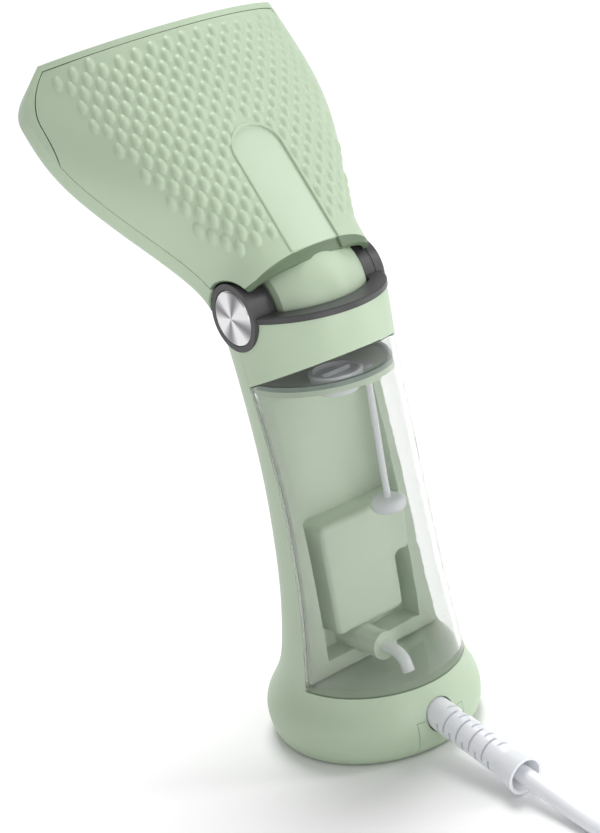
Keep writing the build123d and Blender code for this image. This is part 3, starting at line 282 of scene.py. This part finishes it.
# ---------------------------------------------------------------- mains lead
LEAD_RADIUS = 3.25
LEAD_ROUTE = [(-4.168, -75.545, 9.792), (-5.9, -100, 5.95), (-8.2, -123, 3.3),
              (-10.9, -148, 3.3), (-11.6, -172, 3.3), (-11.75, -186, 3.3)]
COIL_CENTRE = (36.3, -196)
COIL_RADII = (47.9, 41.3, 34.7, 28.1)
LAYER_LOW, LAYER_HIGH = 3.3, 9.9
POINTS_PER_TURN = 18
SHIFT_POINTS = 4            # a turn moves in or out to the next one over its last points
CURVE_CUT = 1.008           # the curve cuts inside its control points, so they stand wider
LEAD_TAIL = [(84.2, -182, 9.9), (84.2, -166, 9.9), (84.2, -150.1, 9.9)]


def coil_points():
    """Control points of the put-away coil: four turns inwards, then back out on top."""
    radii = list(COIL_RADII) + list(reversed(COIL_RADII))
    points = []
    for turn, radius in enumerate(radii):
        after = radii[turn + 1] if turn + 1 < len(radii) else radius
        count = POINTS_PER_TURN if turn + 1 < len(radii) else POINTS_PER_TURN // 2
        for step in range(count):
            share = max(0.0, (step - POINTS_PER_TURN + SHIFT_POINTS) / SHIFT_POINTS)
            angle = pi + 2 * pi * step / POINTS_PER_TURN
            reach = (radius + (after - radius) * share) * CURVE_CUT
            low = turn < len(COIL_RADII)
            height = LAYER_LOW if low else LAYER_HIGH
            if turn == len(COIL_RADII) and step < SHIFT_POINTS:
                height = LAYER_LOW + (LAYER_HIGH - LAYER_LOW) * step / SHIFT_POINTS
            points.append((COIL_CENTRE[0] + reach * cos(angle),
                           COIL_CENTRE[1] + reach * sin(angle), height))
    return points


def make_lead():
    """The mains lead: out of the strain relief, down to the floor and into its coil."""
    route = LEAD_ROUTE + coil_points() + LEAD_TAIL
    data = bpy.data.curves.new("lead", "CURVE")
    data.dimensions = "3D"
    data.bevel_depth = 1.0
    data.bevel_resolution = 6
    data.resolution_u = 8
    data.use_fill_caps = True
    spline = data.splines.new("NURBS")
    spline.points.add(len(route) - 1)
    for point, place in zip(spline.points, route):
        point.co = (*(value * MM for value in place), 1)
        point.radius = LEAD_RADIUS * MM
    spline.order_u = 3
    spline.use_endpoint_u = True
    lead = bpy.data.objects.new("lead", data)
    bpy.context.scene.collection.objects.link(lead)
    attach(lead, "handle")
    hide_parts("cord_lead", "cord_coil", "cord_tail")
    dress(lead, "lead_white")


# ---------------------------------------------------------------- mesh helpers
def link_mesh(name, vertices, faces, sharp=radians(35)):
    """A mesh object from points in metres, smooth except over sharp edges."""
    data = bpy.data.meshes.new(name)
    data.from_pydata([tuple(v) for v in vertices], [], faces)
    bm = bmesh.new()
    bm.from_mesh(data)
    bmesh.ops.recalc_face_normals(bm, faces=bm.faces)
    bm.to_mesh(data)
    bm.free()
    soften(data, sharp)
    obj = bpy.data.objects.new(name, data)
    bpy.context.scene.collection.objects.link(obj)
    return obj


def soften(data, sharp):
    """Smooth shading that keeps edges sharper than an angle."""
    data.polygons.foreach_set("use_smooth", [True] * len(data.polygons))
    data.set_sharp_from_angle(angle=sharp)


# ---------------------------------------------------------------- head frame
PIVOT = (0, 2, 172)
TILT = radians(37)
REACH_WAY = np.array([0, sin(TILT), cos(TILT)])
DEPTH_WAY = np.array([0, -cos(TILT), sin(TILT)])
SEAM_DEPTH, CREST = -2.0, 25.0
# reach, half-width, lean, rise and flat share, as in the part's own sections
HEAD_SECTIONS = np.array([
    (-4, 30.2, 0, 20, 0.75), (5, 30.3, 0, 20, 0.75), (15, 31, 0, 20.5, 0.75),
    (26, 35.2, 0, 20.5, 0.75), (37, 40.9, 0, 20, 0.74), (47, 46.4, 0.5, 19, 0.70),
    (57, 51.5, 2, 18, 0.64), (68, 56.3, 5, 17, 0.56), (80, 59.5, 9, 16.5, 0.49),
    (92, 60.5, 12.5, 16.5, 0.43), (105, 60.5, 13, 16.5, 0.42), (120, 60.3, 13, 16.5, 0.42)])


def head_places(x, reach, depth):
    """Points given across, along and through the head, in mm, as row frame metres."""
    flat = (np.array(PIVOT, float) + np.outer(np.ravel(x), (1, 0, 0))
            + np.outer(np.ravel(reach), REACH_WAY) + np.outer(np.ravel(depth), DEPTH_WAY))
    return flat * MM


def section_at(reach):
    """Half-width, lean, rise and flat share of the head at some reaches, smoothly."""
    stations = HEAD_SECTIONS[:, 0]
    values = HEAD_SECTIONS[:, 1:]
    slopes = np.gradient(values, stations, axis=0)
    at = np.clip(np.searchsorted(stations, reach) - 1, 0, len(stations) - 2)
    span = (stations[at + 1] - stations[at])[..., None]
    t = ((reach - stations[at])[..., None]) / span
    start, end = values[at], values[at + 1]
    leave, arrive = slopes[at] * span, slopes[at + 1] * span
    made = ((2 * t**3 - 3 * t**2 + 1) * start + (t**3 - 2 * t**2 + t) * leave
            + (3 * t**2 - 2 * t**3) * end + (t**3 - t**2) * arrive)
    return np.moveaxis(made, -1, 0)


def arch(share, reach):
    """Across and depth of the head's back at a share (0 seam, 1 crest) and a reach."""
    half, lean, rise, flat = section_at(reach)
    u = 1 - share
    across = (u**3 * half + 3 * u**2 * share * (half - lean)
              + 3 * u * share**2 * flat * half)
    depth = ((u**3) * SEAM_DEPTH + 3 * u**2 * share * (SEAM_DEPTH + rise)
             + (3 * u * share**2 + share**3) * CREST)
    return across, depth


# ---------------------------------------------------------------- textured back cover
COVER_SIDE = 58.45          # the cover's straight sides and their rounding, in plan
COVER_CORNER = 22.65
CORNER_FROM = 91.0
COVER_END = 111.42
END_LEAN = 0.375
COVER_WALL = 2.1
SEAM_SHARE = 0.004          # leaves the thin seam over the front frame
HEAD_LIP = 2.8
ARCH_SIDE, ARCH_RISE, ARCH_HALF = 4.3, 2.7, 25      # the back's edge over the drum
EAR_CLEAR, EAR_INNER = 13.4, 19.4
BADGE_HALF, BADGE_SHOULDER = 10.4, 47.1
PANEL_DROP, PANEL_WALL = 0.45, 0.5
PANEL_FROM = 7.1
PANEL_INSET, RECESS_INSET = 0.5, 0.55
LIP_ROWS = 8
LIP_STEP, LIP_SLOPE = 0.25, 0.16
RECESS = 0.95               # the cover under the strip lies this far below its own surface
COVER_ROWS = 230
COVER_COLUMNS = 140         # on each side of the crest
EDGE_WAYS = [0, 0.0015, 0.004, 0.009]               # closer rows, for the rounded edges
NEAR_SHARES = [0, 0.002, 0.005]
FAR_SHARES = [0.9945, 0.9965, 0.998, 0.9993, 1]
HALF_GIRTH = 75.0           # from the cover's edge to its crest, roughly
EDGE_ROUND = 0.22
OVAL_PITCH = 6.6            # across, and rows along, every other one shifted by half
OVAL_ROW = 4.2
OVAL_HALF = (1.85, 3.2)
OVAL_HEIGHT = 0.95
OVAL_DOME = 0.9             # below 1 it gives flatter tops and steeper sides
OVAL_LEAN = 0.12
OVAL_ROWS = range(4, 26)
OVAL_COLUMNS = range(-12, 13)
OVAL_EDGE_GAP, OVAL_BADGE_GAP = 3.4, 1.9
FIELD_HALF, FIELD_LOSS = 49.6, 22.5     # the field of ovals narrows towards the hinge
FIELD_FROM, FIELD_LONG, FIELD_CURVE = 15, 85, 1.9


def plan_limit(reach):
    """The cover's half-width where the plan's rounded far corners cut it."""
    past = np.clip(reach - CORNER_FROM, 0, COVER_CORNER - 0.01)
    return COVER_SIDE - COVER_CORNER + np.sqrt(COVER_CORNER**2 - past**2)


def limited_share(reach):
    """The share of the section where the plan's limit cuts it, 0 where it doesn't."""
    limit = plan_limit(reach)
    low, high = np.zeros_like(reach), np.full_like(reach, 0.9)
    for _ in range(28):
        middle = (low + high) / 2
        outside = arch(middle, reach)[0] > limit
        low = np.where(outside, middle, low)
        high = np.where(outside, high, middle)
    return np.where(arch(np.zeros_like(reach), reach)[0] > limit, (low + high) / 2, 0.0)


def cover_point(way, reach):
    """Across and depth of the cover at a way (0 edge, 1 crest) across it."""
    start = np.maximum(limited_share(reach), SEAM_SHARE)
    return arch(start + (1 - start) * way, reach)


def arch_edge(across):
    """Reach of the edge where the cover's back turns down towards the drum."""
    return ARCH_SIDE + ARCH_RISE * np.clip(1 - (across / ARCH_HALF) ** 2, 0, 1) ** 0.8


def arc_length(places):
    """Length along each row of surface points, from its middle, in mm."""
    steps = np.linalg.norm(np.diff(places, axis=1), axis=2) / MM
    along = np.concatenate([np.zeros((len(places), 1)), np.cumsum(steps, axis=1)], axis=1)
    return along - along[:, [places.shape[1] // 2]]


def oval_centres(ends):
    """Places of the raised ovals, as length from the crest and reach, in staggered rows."""
    ways = np.linspace(1, 0, 120)
    centres = []
    for row in OVAL_ROWS:
        reach = row * OVAL_ROW
        x, depth = cover_point(ways, np.full(len(ways), reach))
        length = np.concatenate([[0], np.cumsum(np.hypot(np.diff(x), np.diff(depth)))])
        away = max(0.0, min(1.0, 1 - (reach - FIELD_FROM) / FIELD_LONG))
        outer = FIELD_HALF - FIELD_LOSS * away**FIELD_CURVE
        for column in OVAL_COLUMNS:
            place = (column + (row % 2) / 2) * OVAL_PITCH
            across = np.interp(abs(place), length, x)
            badge = in_badge(across, reach, BADGE_HALF + OVAL_BADGE_GAP)
            inside = reach < np.interp(across, *ends) - OVAL_EDGE_GAP
            if across < outer and inside and not badge:
                centres.append((place, reach))
    return centres


def ovals(length, reach, ends):
    """Height of the raised ovals over the cover's grid."""
    height = np.zeros_like(reach)
    for place, row in oval_centres(ends):
        lines = np.abs(reach - row) < OVAL_HALF[1]
        near = lines & (np.abs(length - place) < OVAL_HALF[0] + 0.5)
        dy = (reach[near] - row) / OVAL_HALF[1]
        dx = (length[near] - place - OVAL_LEAN * (reach[near] - row)) / OVAL_HALF[0]
        dome = np.clip(1 - dx**2 - dy**2, 0, 1)
        height[near] = np.maximum(height[near], dome**OVAL_DOME * OVAL_HEIGHT)
    return height


def notch_edge(across, depth):
    """Reach at which the cover ends: over the collar, and round the ears on each side."""
    ear = np.sqrt(np.clip(EAR_CLEAR**2 - depth**2, 0, None))
    return np.maximum(HEAD_LIP, np.where(across > EAR_INNER, ear, 0))


def in_badge(x, reach, half):
    """Where the badge strip is, for a half-width: straight sides and a round far end."""
    past = np.clip(reach - BADGE_SHOULDER, 0, None)
    return x**2 + past**2 < half**2


def cover_grid():
    """The cover's ways across, and the reach of its rows, of the arch and of its far end."""
    ways = np.concatenate([EDGE_WAYS, np.linspace(0.016, 1, COVER_COLUMNS)])
    ways = np.concatenate([ways, ways[-2::-1]])
    last = np.full(len(ways), COVER_END - 8)
    for _ in range(40):
        last = COVER_END - END_LEAN * (cover_point(ways, last)[1] - SEAM_DEPTH)
    lowest = np.full(len(ways), 5.0)
    for _ in range(20):
        lowest = notch_edge(*cover_point(ways, lowest))
    first = np.maximum(arch_edge(cover_point(ways, np.full(len(ways), 6.0))[0]),
                       lowest + 0.6)
    rows = [lowest + (first - lowest) * k / LIP_ROWS for k in range(LIP_ROWS)]
    shares = np.concatenate([NEAR_SHARES, np.linspace(0.01, 0.99, COVER_ROWS), FAR_SHARES])
    rows += [first + (last - first) * share for share in shares]
    return ways, np.array(rows), first, last


def make_head_cover():
    """The head's back cover: its arched shell with the raised ovals and a lip at the drum, which
    takes a darker green as painted shade under the cover's edge.
    """
    ways, reach, first, last = cover_grid()
    sides = np.concatenate([-np.ones(len(ways) // 2), [0], np.ones(len(ways) // 2)])
    way = np.broadcast_to(ways, reach.shape)
    x, depth = cover_point(way, reach)
    x = x * sides
    places = head_places(x, reach, depth).reshape(*reach.shape, 3)
    normal = grid_normals(places)
    border = np.minimum(last[None, :] - reach, way * HALF_GIRTH)
    dip = EDGE_ROUND - np.sqrt(np.maximum(EDGE_ROUND**2
                                          - np.clip(EDGE_ROUND - border, 0, EDGE_ROUND)**2, 0))
    lip = np.clip(first[None, :] - reach, 0, None)
    dip += np.where(lip > 0, LIP_STEP + lip * LIP_SLOPE, 0)
    dip += np.where(in_badge(x, reach, BADGE_HALF - RECESS_INSET), RECESS, 0)
    middle = len(ways) // 2
    ends = (x[-1, middle:], last[middle:])
    raised = ovals(arc_length(places), reach, ends)
    places = places + normal * ((raised - dip) * MM)[..., None]
    cover = grid_piece("head_cover", places, normal, COVER_WALL)
    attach(cover, "head")
    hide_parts("head_back_cover")
    dress(cover, "shell_green")
    # a second, darker green for the lip's rows and the wall along its edge: painted shade under
    # the cover's edge
    cover.data.materials.append(MATERIALS["lip_painted_shade_green"])
    strip = reach.shape[1] - 1
    edge_from = 2 * strip * (len(reach) - 1)
    for index in [*range(LIP_ROWS * strip), *range(edge_from, edge_from + strip)]:
        cover.data.polygons[index].material_index = 1


def grid_normals(places):
    """Unit normals of a grid of surface points on the head's back, pointing outwards."""
    normal = np.cross(np.gradient(places, axis=1), np.gradient(places, axis=0))
    normal /= np.linalg.norm(normal, axis=2, keepdims=True) + 1e-12
    middle = normal[places.shape[0] // 2, places.shape[1] // 2]
    return normal if middle @ DEPTH_WAY > 0 else -normal


def grid_piece(name, places, normal, wall):
    """A closed sheet of a thickness under a grid of surface points."""
    rows, columns = places.shape[:2]
    count = rows * columns
    inner = places - normal * wall * MM
    outer_faces = [(i * columns + j, i * columns + j + 1, (i + 1) * columns + j + 1,
                    (i + 1) * columns + j) for i in range(rows - 1) for j in range(columns - 1)]
    faces = outer_faces + [tuple(count + k for k in reversed(face)) for face in outer_faces]
    border = list(range(columns)) + [i * columns + columns - 1 for i in range(1, rows)]
    border += [(rows - 1) * columns + j for j in range(columns - 2, -1, -1)]
    border += [i * columns for i in range(rows - 2, 0, -1)]
    for k, here in enumerate(border):
        there = border[(k + 1) % len(border)]
        faces.append((here, there, count + there, count + here))
    vertices = np.vstack([places.reshape(-1, 3), inner.reshape(-1, 3)])
    return link_mesh(name, vertices, faces)


# ---------------------------------------------------------------- blank badge
def surface_point(x, reach):
    """Depth of the head's back at a place across and along it, near its crest."""
    low, high = np.zeros_like(x), np.ones_like(x)
    for _ in range(30):
        middle = (low + high) / 2
        outside = arch(middle, reach)[0] > np.abs(x)
        low, high = np.where(outside, middle, low), np.where(outside, high, middle)
    return arch((low + high) / 2, reach)[1]


def make_badge_panel():
    """The blank strip, set a little below the cover's back."""
    half = BADGE_HALF - PANEL_INSET
    level = np.linspace(0, 1, 90) ** 0.8
    over = np.linspace(-1, 1, 41)
    top = BADGE_SHOULDER + half - 0.02
    reach = PANEL_FROM + (top - PANEL_FROM) * level[:, None] * np.ones_like(over)
    past = np.clip(reach - BADGE_SHOULDER, 0, None)
    x = over * np.sqrt(half**2 - past**2)
    reach = np.maximum(reach, arch_edge(np.abs(x)) + 0.08)
    depth = surface_point(x, reach) - PANEL_DROP
    places = head_places(x, reach, depth).reshape(*x.shape, 3)
    panel = grid_piece("badge_panel", places, grid_normals(places), PANEL_WALL)
    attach(panel, "head")
    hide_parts("badge_inlay")
    dress(panel, "badge_green")


RIM_FROM, RIM_STEPS = 7.15, 40
RIM_PROFILE = [(-0.62, -1.2), (-0.62, 0.1), (-0.5, 0.36), (-0.25, 0.48), (0, 0.5),
               (0.25, 0.48), (0.5, 0.36), (0.62, 0.1), (0.62, -1.2)]


def make_badge_rim():
    """The thin raised line round the strip, which ends at the arch over the drum."""
    outline = [(-BADGE_HALF, reach) for reach in np.linspace(RIM_FROM, BADGE_SHOULDER, RIM_STEPS)]
    turns = [pi * k / RIM_STEPS for k in range(1, RIM_STEPS)]
    outline += [(-BADGE_HALF * cos(turn), BADGE_SHOULDER + BADGE_HALF * sin(turn))
                for turn in turns]
    outline += [(-x, reach) for x, reach in reversed(outline[:RIM_STEPS])]
    outline = np.array(outline)
    way = np.gradient(outline, axis=0)
    way /= np.linalg.norm(way, axis=1, keepdims=True)
    across = np.stack([-way[:, 1], way[:, 0]], axis=1)
    vertices, faces = [], []
    for shift, lift in RIM_PROFILE:
        line = outline + across * shift
        depth = surface_point(line[:, 0], line[:, 1]) + lift
        vertices.append(head_places(line[:, 0], line[:, 1], depth))
    count = len(outline)
    for k in range(len(RIM_PROFILE)):
        following = (k + 1) % len(RIM_PROFILE)
        faces += [(k * count + j, k * count + j + 1, following * count + j + 1,
                   following * count + j) for j in range(count - 1)]
    faces.append([k * count for k in range(len(RIM_PROFILE))])
    faces.append([k * count + count - 1 for k in range(len(RIM_PROFILE))])
    rim = link_mesh("badge_rim", np.vstack(vertices), faces, radians(50))
    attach(rim, "head")
    dress(rim, "shell_green")


# ---------------------------------------------------------------- hinge discs
DISC_FOOT = 28.78           # the discs stand on the ears at this distance across
DISC_RADIUS, DISC_SHOULDER = 9.6, 1.38      # where the rounded edge meets the turned face
DISC_EDGE = [(10.25, 0.0), (10.25, 1.0), (9.95, 1.3)]
DISC_CROWN, DISC_TOP = 0.62, 2.02
DISC_WAVE = 0.10            # the sectors' shallow ridges
DISC_STEPS, DISC_RINGS = 128, 12


def make_hinge_disc(side, name):
    """A bright cap with shallow turned sectors, over the hinge pin."""
    rings = DISC_EDGE + [(DISC_RADIUS, DISC_SHOULDER)]
    for k in range(1, DISC_RINGS + 1):
        inwards = k / (DISC_RINGS + 0.5)
        rings.append((DISC_RADIUS * (1 - inwards), DISC_SHOULDER + DISC_CROWN * inwards))
    vertices, faces = [], []
    for radius, height in rings:
        for k in range(DISC_STEPS):
            angle = 2 * pi * k / DISC_STEPS
            within = angle / (2 * pi / DISC_SECTORS) % 1
            wave = DISC_WAVE * abs(within - 0.5) * 2
            lift = height + (wave * radius / DISC_RADIUS if height >= DISC_SHOULDER else 0)
            vertices.append((side * (DISC_FOOT + lift), radius * cos(angle),
                             radius * sin(angle)))
    for ring in range(len(rings) - 1):
        for k in range(DISC_STEPS):
            here = ring * DISC_STEPS + k
            beside = ring * DISC_STEPS + (k + 1) % DISC_STEPS
            faces.append((here, beside, beside + DISC_STEPS, here + DISC_STEPS))
    centre = len(vertices)
    vertices.append((side * (DISC_FOOT + DISC_TOP), 0, 0))
    start = (len(rings) - 1) * DISC_STEPS
    faces += [(start + k, start + (k + 1) % DISC_STEPS, centre) for k in range(DISC_STEPS)]
    faces.append(tuple(range(DISC_STEPS)))
    places = [(x * MM, (y + PIVOT[1]) * MM, (z + PIVOT[2]) * MM) for x, y, z in vertices]
    disc = link_mesh(f"hinge_disc_{name}", places, faces, radians(25))
    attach(disc, "handle")
    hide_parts(f"hinge_cap_{name}")
    dress(disc, "chrome")
    # the disc takes the metal with painted reflection sectors in its colour
    disc.data.materials[0] = MATERIALS["disc_painted_reflection_metal"]


# ---------------------------------------------------------------- studio
FLOOR_SIZE = 30
WORLD_STRENGTH = 0.46
KEY_STRENGTH, KEY_SPREAD, KEY_WAY = 2.3, radians(30), (-0.3, -0.35, -1)
# name, place, size and power of the soft panels
PANELS = [("left_panel", (-1.2, -0.5, 0.5), (0.25, 1.3), 1),
          ("front_panel", (-0.1, -1.5, 0.2), (0.6, 0.5), 6),
          ("right_panel", (0.9, -0.75, 0.5), (0.2, 1.3), 7)]
PANEL_AIM = (0, 0, 0.15)


def make_studio():
    """A pale floor, a pale surround and soft lights."""
    bpy.ops.mesh.primitive_plane_add(size=FLOOR_SIZE, location=(0, 0, 0))
    floor = bpy.context.object
    floor.name = "floor"
    floor.data.materials.append(material("floor_paper", (0.93, 0.93, 0.93),
                                         (0.92, 0.92, 0.92), 0.4, 0.8, 0.002, 0.00001))
    world = bpy.data.worlds.new("studio")
    bpy.context.scene.world = world
    world.use_nodes = True
    world.node_tree.nodes["Background"].inputs["Color"].default_value = (1, 1, 1, 1)
    world.node_tree.nodes["Background"].inputs["Strength"].default_value = WORLD_STRENGTH
    sun = bpy.data.lights.new("key", "SUN")
    sun.energy = KEY_STRENGTH
    sun.angle = KEY_SPREAD
    key = bpy.data.objects.new("key", sun)
    key.rotation_euler = Vector(KEY_WAY).to_track_quat("-Z", "Y").to_euler()
    bpy.context.scene.collection.objects.link(key)
    for name, place, size, power in PANELS:
        data = bpy.data.lights.new(name, "AREA")
        data.shape = "RECTANGLE"
        data.size, data.size_y = size
        data.energy = power
        light = bpy.data.objects.new(name, data)
        light.location = place
        aim = Vector(PANEL_AIM) - Vector(place)
        light.rotation_euler = aim.to_track_quat("-Z", "Y").to_euler()
        bpy.context.scene.collection.objects.link(light)
    bpy.context.scene.view_settings.view_transform = "Standard"


make_camera()
MATERIALS = make_materials()
MATERIALS["disc_painted_reflection_metal"] = paint_disc_reflections()
paint_tank_foot_light()
round_head_frame()
make_lead()
make_head_cover()
make_badge_panel()
make_badge_rim()
make_hinge_disc(-1, "left")
make_hinge_disc(1, "right")
make_studio()
